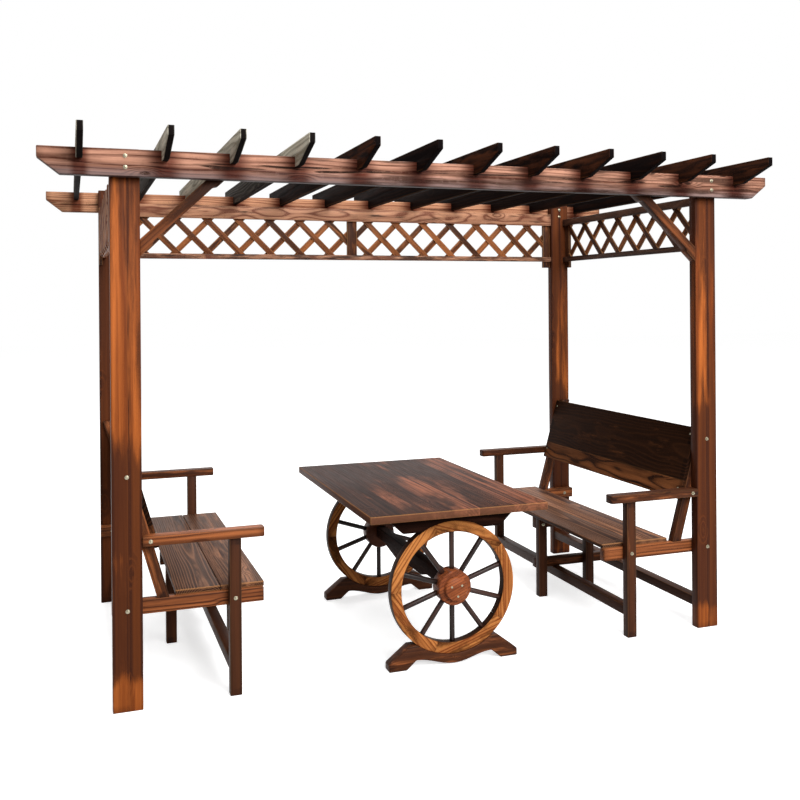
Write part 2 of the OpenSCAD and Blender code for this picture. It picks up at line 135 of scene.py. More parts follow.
def write_grain(piece, seed, tones=(0.5,), along=None):
    """Gives each board its own grain: its length, width and thickness, measured from its middle,
    its half sizes with a seed, and how deeply it was scorched."""
    only(piece)
    bpy.ops.object.mode_set(mode="EDIT")
    bpy.ops.mesh.select_all(action="SELECT")
    bpy.ops.mesh.separate(type="LOOSE")
    bpy.ops.object.mode_set(mode="OBJECT")
    boards = []
    for board in bpy.context.selected_objects:
        points = np.empty(len(board.data.vertices) * 3)
        board.data.vertices.foreach_get("co", points)
        points = points.reshape(-1, 3)
        middle = (points.min(0) + points.max(0)) / 2
        boards.append((tuple(middle.round(4)), board, points))
    boards.sort(key=lambda row: row[0])
    for number, (_, board, points) in enumerate(boards):
        spread = points - points.mean(0)
        if along is None:
            axes = np.linalg.eigh(spread.T @ spread)[1][:, ::-1].copy()
        else:
            first = np.array(along[number % len(along)], float)
            first /= np.linalg.norm(first)
            rest = spread - np.outer(spread @ first, first)
            axes = np.linalg.eigh(rest.T @ rest)[1][:, ::-1].copy()
            axes = np.column_stack((first, axes[:, 0], axes[:, 1]))
        # an axis may come out either way round, so its largest part is made positive, but a
        # direction that was given keeps its sense
        sense = np.sign(axes[np.abs(axes).argmax(0), range(3)])
        if along is not None:
            sense[0] = 1.0
        axes *= sense
        local = points @ axes
        low, high = local.min(0), local.max(0)
        half = (high - low) / 2
        grain = board.data.attributes.new("grain", "FLOAT_VECTOR", "POINT")
        grain.data.foreach_set("vector", (local - (low + high) / 2).astype(np.float32).ravel())
        size = np.tile([*half, (seed + number * golden_step) % 1.0], (len(points), 1))
        sizes = board.data.attributes.new("board", "FLOAT_COLOR", "POINT")
        sizes.data.foreach_set("color", size.astype(np.float32).ravel())
        tone = board.data.attributes.new("tone", "FLOAT", "POINT")
        tone.data.foreach_set("value", [tones[number % len(tones)]] * len(points))
    only(piece, *[board for _, board, _ in boards if board is not piece])
    if len(boards) > 1:
        bpy.ops.object.join()
    bpy.ops.object.shade_smooth_by_angle(angle=smooth_angle)


def timber(node, edge, seed, tones=(0.5,), along=None, sharp=30):
    """A node's solid with eased edges and a grain of its own in each board."""
    piece = solid(node)
    ease(piece, edge, sharp)
    write_grain(piece, seed, tones, along)
    return piece


def finish(piece, material):
    """Varnishes a piece and sets it on the object."""
    piece.data.materials.append(material)
    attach(piece, "root")


def rgb(hexes):
    """An sRGB hex colour as linear values."""
    parts = [int(hexes[i:i + 2], 16) / 255 for i in (1, 3, 5)]
    return [p / 12.92 if p <= 0.04045 else ((p + 0.055) / 1.055) ** 2.4 for p in parts] + [1.0]


def bare_material(name):
    """A new material with an empty node tree."""
    material = bpy.data.materials.new(name)
    material.use_nodes = True
    material.node_tree.nodes.clear()
    return material


def add(tree, kind, inputs=None, stops=(), **settings):
    """Adds a node with its settings, its inputs by name or number, and its ramp's stops from 0 to 1.
    Map Range takes the range that comes in as 1 and 2 and the one that goes out as 3 and 4, and Mix
    takes its two colours as 6 and 7."""
    made = tree.nodes.new("ShaderNode" + kind)
    for name, value in settings.items():
        setattr(made, name, value)
    for place, value in (inputs or {}).items():
        if isinstance(value, bpy.types.NodeSocket):
            tree.links.new(value, made.inputs[place])
        else:
            made.inputs[place].default_value = value
    if stops:
        # a new ramp has a stop at each end already
        ramp = made.color_ramp.elements
        ramp[0].color = stops[0][1]
        ramp[1].color = stops[-1][1]
        for place, colour in stops[1:-1]:
            ramp.new(place).color = colour
    return made


def grey(value):
    """A ramp colour of one even value."""
    return (value, value, value, 1.0)


def per_metre(long_mm, wide_mm):
    """How often a pattern repeats in a metre along, across and through a board."""
    return (1000 / long_mm, 1000 / wide_mm, 1000 / wide_mm)


def fir(name, light, dark, char, ring_mm, streak, burn, patch_mm, rough, heart_mm=(45, 60), wave_mm=50,
        bend_mm=(600, 150), bands=0.5, edge=0.3, end=0.8, side=0.0, side_hex=None, edge_wear_and_highlight=0.0, end_wear_and_highlight=0.0,
        specular=0.12, ridge=0.15, low_grey=None, pitch=0.0, lee=0.0, scorch_and_shade=()):
    """Scorched fir under varnish. Rings run round a heart that lies below each board's face, so
    that a flat face shows flames and an edge straight lines. The flame that scorched it left
    dark patches, and darker edges and sawn ends. The edges are drawn light again, partly as wear
    from hands and partly as a painted highlight.

    light, dark, char: colours of the early wood, the late rings and the scorched wood
    ring_mm, patch_mm: a ring's width as drawn, and a scorched patch's length and width
    heart_mm, wave_mm, bend_mm: how far the heart lies off and below, and how far and slowly it wanders
    streak, bands, burn: strength of the rings, of soft bands along the board and of the patches
    rough, specular: how rough the varnish is and how much it mirrors
    edge, end, side: char along the edges, at the sawn ends and on the narrow sides, there in side_hex
    edge_wear_and_highlight, end_wear_and_highlight: how light the long and the end edges are drawn, by wear
    and painted highlight
    ridge: how far the late rings show through the char
    low_grey, pitch, lee: the grey that the lower part is mixed towards, pitch pockets, char on the lee side
    scorch_and_shade: how dark a board is drawn from one end to the other, by scorching, and on the rafters
    also by painted shade"""
    material = bare_material(name)
    tree = material.node_tree
    grain = add(tree, "Attribute", attribute_name="grain").outputs["Vector"]
    board = add(tree, "Attribute", attribute_name="board")
    tone = add(tree, "Attribute", attribute_name="tone").outputs["Fac"]
    half = add(tree, "SeparateColor", {0: board.outputs["Color"]})
    place = add(tree, "SeparateXYZ", {0: grain})
    # each board's luck says where its heart lies, what part of the patterns it shows, how its ends burnt
    seed_spread, far_apart, centre = 97.0, 40.0, (0.5, 0.5, 0.5)
    seed = add(tree, "Math", {0: board.outputs["Alpha"], 1: seed_spread}, operation="MULTIPLY")
    luck = add(tree, "TexWhiteNoise", {"W": seed.outputs[0]}, noise_dimensions="1D").outputs["Color"]
    chance = add(tree, "SeparateColor", {0: luck}).outputs[2]
    middle = add(tree, "VectorMath", {0: luck, 1: centre}, operation="SUBTRACT").outputs[0]
    far = add(tree, "VectorMath", {0: luck, "Scale": far_apart}, operation="SCALE").outputs[0]
    # the heart lies off to one side and below the face, and leans along the board
    off, deep, wave = heart_mm[0] / 1000, heart_mm[1] / 1000, wave_mm / 1000
    heart = add(tree, "VectorMath", {0: middle, 1: (0.0, 2 * off, 0.8 * deep), 2: (0.0, 0.0, deep)},
                operation="MULTIPLY_ADD")
    lean = add(tree, "VectorMath", {0: middle, 1: (0.0, wave, wave)}, operation="MULTIPLY")
    lean = add(tree, "VectorMath", {0: lean.outputs[0], "Scale": place.outputs["X"]}, operation="SCALE")
    # slow waves of the trunk along and across the board
    bends = add(tree, "VectorMath", {0: grain, 1: per_metre(*bend_mm), 2: far}, operation="MULTIPLY_ADD")
    bends = add(tree, "TexNoise", {"Vector": bends.outputs[0], "Scale": 1.0, "Detail": 1.0})
    bends = add(tree, "VectorMath", {0: bends.outputs[1], 1: centre}, operation="SUBTRACT")
    bends = add(tree, "VectorMath", {0: bends.outputs[0], 1: (0.0, wave, wave), 2: heart.outputs[0]},
                operation="MULTIPLY_ADD")
    wood = add(tree, "VectorMath", {0: grain, 1: bends.outputs[0]}, operation="ADD")
    wood = add(tree, "VectorMath", {0: wood.outputs[0], 1: lean.outputs[0]}, operation="ADD")
    # knots 10 to 25 mm across, in some seventh of the cells of 200 by 71 mm, with the rings bent round
    bare_share, ring_bend = 0.86, 16.0
    cells = add(tree, "VectorMath", {0: grain, 1: per_metre(200, 71.43), 2: far}, operation="MULTIPLY_ADD")
    cells = add(tree, "TexVoronoi", {"Vector": cells.outputs[0], "Scale": 1.0})
    chosen = add(tree, "SeparateColor", {0: cells.outputs["Color"]})
    chosen = add(tree, "Math", {0: chosen.outputs[0], 1: bare_share}, operation="GREATER_THAN")
    near = add(tree, "MapRange", {0: cells.outputs["Distance"], 1: 0.0, 2: 0.45, 3: 1.0, 4: 0.0},
               interpolation_type="SMOOTHSTEP")
    near = add(tree, "Math", {0: near.outputs[0], 1: chosen.outputs[0]}, operation="MULTIPLY")
    knot = add(tree, "MapRange", {0: near.outputs[0], 1: 0.8, 2: 0.95}, interpolation_type="SMOOTHSTEP")
    swirl = add(tree, "Math", {0: near.outputs[0], 1: ring_bend}, operation="MULTIPLY")
    # year rings: a wave repeats every 2 pi / 20 units, so the scale follows from the ring's width.
    # Real ones are 3 to 5 mm wide; they are drawn two to four times as wide to show in the picture.
    # They hardly change along the trunk.
    wave_length, along_share = 2 * math.pi / 20, 0.04
    stretched = add(tree, "VectorMath", {0: wood.outputs[0], 1: (along_share, 1.0, 1.0)},
                    operation="MULTIPLY")
    rings = add(tree, "TexWave", {
        "Vector": stretched.outputs[0], "Scale": wave_length / (ring_mm / 1000), "Distortion": 2.2,
        "Detail": 2.0, "Detail Scale": 0.35, "Phase Offset": swirl.outputs[0],
    }, wave_type="RINGS", rings_direction="X", wave_profile="SAW")
    late = add(tree, "ValToRGB", {0: rings.outputs[1]}, stops=(
        (0.0, grey(1.0)), (0.12, grey(0.25)), (0.35, grey(0.0)), (0.7, grey(0.12)), (0.93, grey(0.75)),
        (1.0, grey(1.0))))
    # soft bands 1.4 m long and 25 mm wide, and fibres of 143 by 4 mm
    sweep = add(tree, "VectorMath", {0: grain, 1: per_metre(1428.6, 25), 2: far}, operation="MULTIPLY_ADD")
    sweep = add(tree, "TexNoise", {"Vector": sweep.outputs[0], "Scale": 1.0, "Detail": 2.0})
    sweep = add(tree, "MapRange", {0: sweep.outputs[0], 1: 0.38, 2: 0.64, 3: 0.0, 4: bands},
                interpolation_type="SMOOTHSTEP")
    fibres = add(tree, "VectorMath", {0: grain, 1: per_metre(142.86, 3.846), 2: far},
                 operation="MULTIPLY_ADD")
    fibres = add(tree, "TexNoise", {"Vector": fibres.outputs[0], "Scale": 1.0, "Detail": 3.0,
                                    "Roughness": 0.65})
    # rings, bands and fibres together say how dark the wood is
    fibre_share, light_share = 0.8, 0.35
    lines = add(tree, "Math", {0: late.outputs[0], 1: streak, 2: sweep.outputs[0]}, operation="MULTIPLY_ADD")
    lines = add(tree, "Math", {0: fibres.outputs[0], 1: fibre_share, 2: lines.outputs[0]},
                operation="MULTIPLY_ADD")
    lines = add(tree, "Math", {0: lines.outputs[0], 1: light_share}, operation="SUBTRACT", use_clamp=True)
    colour = add(tree, "Mix", {0: lines.outputs[0], 6: rgb(light), 7: rgb(dark)}, data_type="RGBA")
    if low_grey:
        # the lower part of a board is mixed towards grey, broken up by the soft bands
        height = add(tree, "Math", {0: place.outputs["Y"], 1: half.outputs[1]}, operation="DIVIDE")
        height = add(tree, "Math", {0: sweep.outputs[0], 1: 0.8, 2: height.outputs[0]},
                     operation="MULTIPLY_ADD")
        greyed = add(tree, "MapRange", {0: height.outputs[0], 1: 0.1, 2: -0.7, 3: 0.0, 4: 0.85})
        colour = add(tree, "Mix", {0: greyed.outputs[0], 6: colour.outputs[2], 7: rgb(low_grey)},
                     data_type="RGBA")
    # scorched patches, long along the board, more of them on a board that was held longer in the flame
    tone_share, scorch_and_shade_share, scorch_start, scorch_full = 0.5, 0.5, 0.64, 0.88
    flame = add(tree, "VectorMath", {0: grain, 1: per_metre(*patch_mm), 2: far}, operation="MULTIPLY_ADD")
    flame = add(tree, "TexNoise", {"Vector": flame.outputs[0], "Scale": 1.0, "Detail": 4.0, "Roughness": 0.6})
    flame = add(tree, "Math", {0: tone, 1: tone_share, 2: flame.outputs[0]}, operation="MULTIPLY_ADD")
    if lee:
        # the side away from the weather kept its char
        away = add(tree, "MapRange", {0: place.outputs["Z"], 1: -0.004, 2: 0.004, 3: 0.0, 4: lee})
        flame = add(tree, "Math", {0: flame.outputs[0], 1: away.outputs[0]}, operation="ADD")
    if scorch_and_shade:
        # from 0 at one end of the board to 1 at the other
        run = add(tree, "Math", {0: place.outputs["X"], 1: half.outputs[0]}, operation="DIVIDE")
        run = add(tree, "Math", {0: run.outputs[0], 1: 0.5, 2: 0.5}, operation="MULTIPLY_ADD")
        run = add(tree, "ValToRGB", {0: run.outputs[0]}, stops=[(at, grey(depth)) for at, depth in scorch_and_shade])
        flame = add(tree, "Math", {0: run.outputs[0], 1: scorch_and_shade_share, 2: flame.outputs[0]},
                    operation="MULTIPLY_ADD")
    ashen = add(tree, "MapRange", {0: flame.outputs[0], 1: scorch_start, 2: scorch_full, 3: 0.0, 4: burn},
                interpolation_type="SMOOTHSTEP")
    # how far a point lies in from the narrow sides, the faces, the long edges and the sawn ends, in metres
    wide = add(tree, "Math", {0: place.outputs["Y"]}, operation="ABSOLUTE")
    wide = add(tree, "Math", {0: half.outputs[1], 1: wide.outputs[0]}, operation="SUBTRACT")
    thick = add(tree, "Math", {0: place.outputs["Z"]}, operation="ABSOLUTE")
    thick = add(tree, "Math", {0: half.outputs[2], 1: thick.outputs[0]}, operation="SUBTRACT")
    corner = add(tree, "Math", {0: wide.outputs[0], 1: thick.outputs[0]}, operation="MAXIMUM")
    tail = add(tree, "Math", {0: place.outputs["X"]}, operation="ABSOLUTE")
    tail = add(tree, "Math", {0: half.outputs[0], 1: tail.outputs[0]}, operation="SUBTRACT")
    # char along 12 mm of the edges and 30 mm of the ends, and on the narrow sides
    rim = add(tree, "MapRange", {0: corner.outputs[0], 1: 0.0, 2: 0.012, 3: edge, 4: 0.0})
    sawn = add(tree, "MapRange", {0: tail.outputs[0], 1: 0.0, 2: 0.03, 3: end, 4: 0.0})
    sawn = add(tree, "Math", {0: sawn.outputs[0], 1: chance}, operation="MULTIPLY")
    flank = add(tree, "MapRange", {0: thick.outputs[0], 1: 0.001, 2: 0.0035, 3: 0.0, 4: side})
    ashen = add(tree, "Math", {0: ashen.outputs[0], 1: rim.outputs[0]}, operation="ADD")
    ashen = add(tree, "Math", {0: ashen.outputs[0], 1: sawn.outputs[0]}, operation="ADD")
    ashen = add(tree, "Math", {0: ashen.outputs[0], 1: knot.outputs[0]}, operation="MAXIMUM", use_clamp=True)
    if pitch:
        # pitch pockets: black almonds some 200 by 13 mm along the middle of the board's face
        pocket = add(tree, "VectorMath", {0: grain, 1: per_metre(200, 13.333), 2: far},
                     operation="MULTIPLY_ADD")
        pocket = add(tree, "TexNoise", {"Vector": pocket.outputs[0], "Scale": 1.0, "Detail": 1.0})
        pocket = add(tree, "MapRange", {0: pocket.outputs[0], 1: 0.57, 2: 0.61, 3: 0.0, 4: pitch})
        inner = add(tree, "Math", {0: place.outputs["Y"], 1: half.outputs[1]}, operation="DIVIDE")
        inner = add(tree, "Math", {0: inner.outputs[0]}, operation="ABSOLUTE")
        inner = add(tree, "MapRange", {0: inner.outputs[0], 1: 0.2, 2: 0.5, 3: 1.0, 4: 0.0})
        pocket = add(tree, "Math", {0: pocket.outputs[0], 1: inner.outputs[0]}, operation="MULTIPLY")
        ashen = add(tree, "Math", {0: ashen.outputs[0], 1: pocket.outputs[0]}, operation="MAXIMUM")
    # the hard late rings still show through the char
    ridges = add(tree, "Math", {0: late.outputs[0], 1: ridge}, operation="MULTIPLY")
    charred = add(tree, "Mix", {0: ridges.outputs[0], 6: rgb(char), 7: rgb(light)}, data_type="RGBA")
    colour = add(tree, "Mix", {0: ashen.outputs[0], 6: colour.outputs[2], 7: charred.outputs[2]},
                 data_type="RGBA")
    colour = add(tree, "Mix", {0: flank.outputs[0], 6: colour.outputs[2], 7: rgb(side_hex or char)},
                 data_type="RGBA")
    # painted shadow: below each rafter the finish is multiplied dark and red, broken up by the fibres, where
    # the rafters shade the beam
    rafter_shadow = add(tree, "Attribute", attribute_name="rafter_shadow").outputs["Fac"]
    rafter_shadow = add(tree, "MapRange", {0: rafter_shadow, 3: 0.0, 4: 1.0}, interpolation_type="SMOOTHSTEP")
    shadow_fibres = add(tree, "MapRange", {0: fibres.outputs[0], 1: 0.35, 2: 0.65, 3: 1.0, 4: 0.7})
    rafter_shadow = add(tree, "Math", {0: rafter_shadow.outputs[0], 1: shadow_fibres.outputs[0]}, operation="MULTIPLY")
    colour = add(tree, "Mix", {0: rafter_shadow.outputs[0], 6: colour.outputs[2], 7: rgb("#804c3e")},
                 data_type="RGBA", blend_type="MULTIPLY")
    # the last few millimetres of an edge are drawn in light wood, partly as rubbed wear and partly as a
    # painted highlight on the rounded edge
    rubbed = add(tree, "MapRange", {0: corner.outputs[0], 1: 0.002, 2: 0.005, 3: edge_wear_and_highlight, 4: 0.0})
    arris_wear_and_highlight = add(tree, "Math", {0: tail.outputs[0], 1: thick.outputs[0]}, operation="MAXIMUM")
    arris_wear_and_highlight = add(tree, "MapRange", {0: arris_wear_and_highlight.outputs[0], 1: 0.002, 2: 0.006, 3: end_wear_and_highlight, 4: 0.0})
    rub = add(tree, "Attribute", attribute_name="rub").outputs["Fac"]
    arris_wear_and_highlight = add(tree, "Math", {0: arris_wear_and_highlight.outputs[0], 1: rub}, operation="MAXIMUM")
    rubbed = add(tree, "Math", {0: rubbed.outputs[0], 1: arris_wear_and_highlight.outputs[0]}, operation="MAXIMUM")
    rubbed = add(tree, "Math", {0: rubbed.outputs[0], 1: fibres.outputs[0]}, operation="MULTIPLY")
    colour = add(tree, "Mix", {0: rubbed.outputs[0], 6: colour.outputs[2], 7: rgb("#c48a58")},
                 data_type="RGBA")
    # soft early wood lies a little below the hard late rings
    relief = add(tree, "Math", {0: fibres.outputs[0], 1: 0.5, 2: late.outputs[0]}, operation="MULTIPLY_ADD")
    bump = add(tree, "Bump", {"Strength": 0.35, "Distance": 0.0008, "Height": relief.outputs[0]})
    sheen = add(tree, "MapRange", {0: fibres.outputs[0], 1: 0.3, 2: 0.7, 3: rough - 0.06, 4: rough + 0.1})
    varnish_ior = 1.5
    shader = add(tree, "BsdfPrincipled", {
        "Base Color": colour.outputs[2], "Roughness": sheen.outputs[0], "IOR": varnish_ior,
        "Specular IOR Level": specular, "Normal": bump.outputs[0]})
    add(tree, "OutputMaterial", {0: shader.outputs[0]})
    return material


# how deep the scorching is from the foot of a post to its top
post_soot = ((0.0, 0.0), (0.04, 0.05), (0.075, 0.75), (0.18, 1.0), (0.27, 0.65), (0.33, 1.0),
             (0.42, 0.8), (0.5, 0.15), (0.7, 0.1), (0.92, 0.4), (1.0, 0.6))
# straight-grained fir under thin varnish: orange with upright dark lines, and a dull gloss
post_fir = fir("scorched_fir_orange", "#c06930", "#743819", "#3a1d13", ring_mm=16.0, streak=0.5, burn=0.88,
               patch_mm=(500, 45), rough=0.42, heart_mm=(10, 70), wave_mm=12, bands=0.7, edge=0.35, side=0.6,
               specular=0.06, scorch_and_shade=post_soot)
post_edge = 0.003
glue_off_middle = 0.006
for seed, node, tones in ((0.17, "front_left_post", (0.1, 0.25)), (0.38, "front_right_post", (0.35, 0.5)),
                          (0.59, "rear_left_post", (0.85, 0.75)), (0.80, "rear_right_post", (0.5, 0.4))):
    post = solid(node)
    ease(post, post_edge)
    low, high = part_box(node)
    saw(post, (1, 0, 0), [(low.x + high.x) / 2 + glue_off_middle])
    write_grain(post, seed, tones)
    finish(post, post_fir)

# Beams
# Two cross beams bolted to the outer faces of the posts, sawn from wide fir planks with long
# flames along the middle. Below each rafter a dark red band of painted shadow runs down them.
beam_soot = ((0.0, 0.0), (0.3, 0.35), (0.6, 0.65), (0.85, 0.7), (1.0, 0.55))
# a plank out in the rain: rose and brown flames, black pitch pockets, and grey towards the bottom
beam_fir = fir("scorched_fir_rose", "#c9937a", "#532e22", "#22140f", ring_mm=9.0, streak=0.75, burn=0.85,
               patch_mm=(300, 22), rough=0.42, heart_mm=(10, 85), wave_mm=36, bend_mm=(700, 110), bands=0.5,
               edge=0.2, side=0.8, side_hex="#2e1c17", specular=0.03, low_grey="#907d7b", pitch=0.95,
               scorch_and_shade=beam_soot)
# painted light: a pale plank with clear brown flames, drawn paler than its own colour to stand in for the
# light that the rafters keep off the rear beam
pale_fir_painted_light = fir("scorched_fir_pale_painted_light", "#dfa680", "#84503a", "#33201a", ring_mm=8.0, streak=0.9, burn=0.8,
               patch_mm=(240, 22), rough=0.45, heart_mm=(15, 60), wave_mm=26, bend_mm=(600, 110), bands=0.45,
               edge=0.2, specular=0.03, pitch=0.9)
beam_edge = 0.003
# how far the painted rafter shadow spreads from the first rafter and from the others
end_shadow_reach, shadow_reach = 0.045, 0.09
rafter_half = 0.012
rafter_x = [sum(corner.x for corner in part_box("rafter_%02d" % number)) / 2 for number in range(1, 13)]
reaches = [end_shadow_reach] + [shadow_reach] * (len(rafter_x) - 1)
for seed, node, tones, wood in ((0.31, "front_beam", (-0.15,), beam_fir),
                                (0.64, "rear_beam", (0.1,), pale_fir_painted_light)):
    beam = solid(node)
    ease(beam, beam_edge)
    only(beam)
    bpy.ops.object.mode_set(mode="EDIT")
    for x, reach in zip(rafter_x, reaches):
        for shift in (-reach, -rafter_half, rafter_half, reach):
            bpy.ops.mesh.select_all(action="SELECT")
            bpy.ops.mesh.bisect(plane_co=(x + shift, 0, 0), plane_no=(1, 0, 0))
    bpy.ops.object.mode_set(mode="OBJECT")
    write_grain(beam, seed, tones)
    # painted shadow: full under each rafter and fading out to its reach
    rafter_shadow = beam.data.attributes.new("rafter_shadow", "FLOAT", "POINT")
    for spot, row in zip(beam.data.vertices, rafter_shadow.data):
        shaded_share = [(reach - abs(spot.co.x - x)) / (reach - rafter_half) for x, reach in zip(rafter_x, reaches)]
        row.value = max(0.0, min(1.0, max(shaded_share)))
    finish(beam, wood)

# Rafters
# Twelve thin boards set on edge over the beams, notched to sit on them and cut to a slant at both
# ends. They are charred nearly black; the left sides of the left four have weathered grey.
# painted shade: after a little char at the front tip, the rafters turn dark from a fifth to two fifths of
# their length and stay dark to the rear end, where they lie in shade under the roof
rafter_char_and_shade = ((0.0, 0.15), (0.05, 0.0), (0.2, 0.1), (0.4, 0.9), (1.0, 0.9))
# char washed off by the rain: dry silver grey with soft rings on one side, dull black elsewhere
grey_fir = fir("weathered_fir_grey", "#ece5d2", "#968d7b", "#1c1718", ring_mm=12.0, streak=0.9, burn=0.97,
               patch_mm=(300, 45), rough=0.6, side=1.0, side_hex="#171312", end=0.0, edge=0.1, specular=0.01,
               lee=0.5, scorch_and_shade=rafter_char_and_shade)
# fir burnt to a crust: dull black, with brown where the flame passed quickly
black_fir = fir("charred_fir_black", "#56301e", "#241713", "#100c0c", ring_mm=12.0, streak=0.6, burn=0.98,
                patch_mm=(150, 30), rough=0.6, side=1.0, end=0.0, edge=0.1, edge_wear_and_highlight=0.15, specular=0.01,
                scorch_and_shade=rafter_char_and_shade)
rafter_edge = 0.002
weathered_rafters = 4
rafter_tones = (0.1, 0.05, -0.7, 0.05, 0.4, 0.9, 0.4, 0.55, 0.4, 1.0, 0.35, 0.4)
for number, tone in enumerate(rafter_tones, 1):
    rafter = timber("rafter_%02d" % number, rafter_edge, seed=0.11 * number, tones=(tone,))
    finish(rafter, grey_fir if number <= weathered_rafters else black_fir)

# Knee braces
# Two short struts between the front posts and the beam, sawn at a slant, with the underside cut
# back between the ends. The flame has charred them towards the beam.
brace_soot = ((0.0, 0.0), (0.3, 0.1), (0.7, 0.5), (0.85, 0.9), (1.0, 1.0))
# a varnished strut: russet at the post, turning black under the beam
brace_fir = fir("scorched_fir_russet", "#aa6238", "#5c3220", "#24140f", ring_mm=14.0, streak=0.5, burn=0.9,
                patch_mm=(250, 35), rough=0.42, heart_mm=(20, 60), wave_mm=12, edge=0.2, side=0.4, edge_wear_and_highlight=0.2,
                specular=0.06, scorch_and_shade=brace_soot)
sawn_edge = 0.0025
slope = math.radians(43)
brace_run = [(math.cos(slope), 0, math.sin(slope)), (-math.cos(slope), 0, math.sin(slope))]
braces = timber("front_braces", sawn_edge, seed=0.44, tones=(0.25, 0.35), along=brace_run)
finish(braces, brace_fir)

# Lattice panels
# Thin sawn bars nailed crosswise in two layers behind a top and a bottom rail, with battens on
# the posts. Every bar was scorched by itself, so each has a tone of its own.
bar_w, bar_t, bar_lap = 0.031, 0.008, 0.022
bar_edge, lath_edge = 0.001, 0.0015
bar_slope = math.radians(45)
rail_t, bottom_rail_h, field_h = 0.018, 0.028, 0.188
batten_w, batten_drop, stile_w = 0.045, 0.036, 0.056
# steps from one board's seed to the next
rail_step, bar_step = 0.37, 0.2361
# thin bars, each torched by itself: from orange to nearly black, with edges drawn light by wear and a painted
# highlight
lattice_fir = fir("scorched_fir_mixed", "#b8703f", "#5f321d", "#2b1814", ring_mm=12.0, streak=0.7, burn=0.9,
                  patch_mm=(110, 20), rough=0.45, heart_mm=(10, 60), wave_mm=12, edge=0.1, edge_wear_and_highlight=0.8)
# wide-ringed rails: pink with strong brown flames, drawn lighter than their own colour as painted light for
# the rear rail in the rafters' shade
rail_fir_painted_light = fir("scorched_fir_pink", "#d89f7c", "#7c4a38", "#2e1c17", ring_mm=10.0, streak=1.1, burn=0.92,
               patch_mm=(160, 18), rough=0.45, heart_mm=(15, 55), wave_mm=40, bend_mm=(220, 90), bands=0.3,
               edge=0.15)


def lath(low, high):
    """A sawn board that fills the box between two corners."""
    bpy.ops.object.select_all(action="DESELECT")
    bpy.ops.mesh.primitive_cube_add(size=1, location=[(a + b) / 2 for a, b in zip(low, high)])
    board = bpy.context.object
    board.scale = [b - a for a, b in zip(low, high)]
    bpy.ops.object.transform_apply()
    ease(board, lath_edge)
    return board


def lattice_bar(x, y, lean, left, right, low, high):
    """A slanting bar through x at mid-height, cut to the field and to where it laps the rails."""
    reach = (high - low) * 2
    bpy.ops.object.select_all(action="DESELECT")
    bpy.ops.mesh.primitive_cube_add(size=1, location=(x, y + bar_t / 2, (low + high) / 2))
    bar = bpy.context.object
    bar.scale = (reach, bar_t, bar_w)
    bar.rotation_euler = (0, lean, 0)
    bpy.ops.object.transform_apply()
    bpy.ops.object.mode_set(mode="EDIT")
    for spot, normal in (((left, 0, 0), (-1, 0, 0)), ((right, 0, 0), (1, 0, 0)),
                         ((0, 0, low), (0, 0, -1)), ((0, 0, high), (0, 0, 1))):
        bpy.ops.mesh.select_all(action="SELECT")
        bpy.ops.mesh.bisect(plane_co=spot, plane_no=normal, use_fill=True, clear_outer=True)
    bpy.ops.object.mode_set(mode="OBJECT")
    if not bar.data.vertices:
        bpy.data.objects.remove(bar)
        return None
    ease(bar, bar_edge)
    return bar


def lattice_panel(node, length, base, top_rail_h, fields, pitch, start, seed, rail_tones, bar_tones,
                  bar_fir):
    """A panel seen from inside, with its face at y = 0 and its middle at x = 0."""
    end = length / 2 - batten_w
    field_z = base + bottom_rail_h
    top_z = field_z + field_h
    top = top_z + top_rail_h
    depth = rail_t + 2 * bar_t
    rails = [
        lath((-length / 2, 0, base), (length / 2, rail_t, field_z)),
        lath((-length / 2, 0, top_z), (length / 2, rail_t, top)),
    ]
    uprights = [
        lath((-length / 2, rail_t, base - batten_drop), (-end, depth, top)),
        lath((end, rail_t, base - batten_drop), (length / 2, depth, top)),
    ]
    if len(fields) > 1:
        stile_foot = (fields[0][1], rail_t, field_z - bar_lap)
        uprights.append(lath(stile_foot, (fields[1][0], depth, top_z + bar_lap)))
    boards = rails + uprights
    for number, piece in enumerate(boards):
        write_grain(piece, seed + rail_step * number, (rail_tones[min(number, len(rails))],))
        piece.data.materials.append(rail_fir_painted_light if number < len(rails) else lattice_fir)
    # bars whose middles lie up to two pitches outside a field still reach into it
    spare = 2
    count = 0
    for left, right in fields:
        for number in range(-spare, int((right - left) / pitch) + spare + 1):
            for layer, lean in ((0, bar_slope), (1, -bar_slope)):
                bar = lattice_bar(left + start + number * pitch, rail_t + layer * bar_t, lean, left, right,
                                  field_z - bar_lap, top_z + bar_lap)
                if bar:
                    count += 1
                    write_grain(bar, seed + bar_step * count, (bar_tones[count % len(bar_tones)],),
                                along=[(math.cos(lean), 0, -math.sin(lean))])
                    bar.data.materials.append(bar_fir)
                    boards.append(bar)
    only(*boards)
    bpy.ops.object.join()
    panel = bpy.context.object
    panel.name = node + "_timber"
    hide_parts(node)
    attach(panel, "root")
    return panel


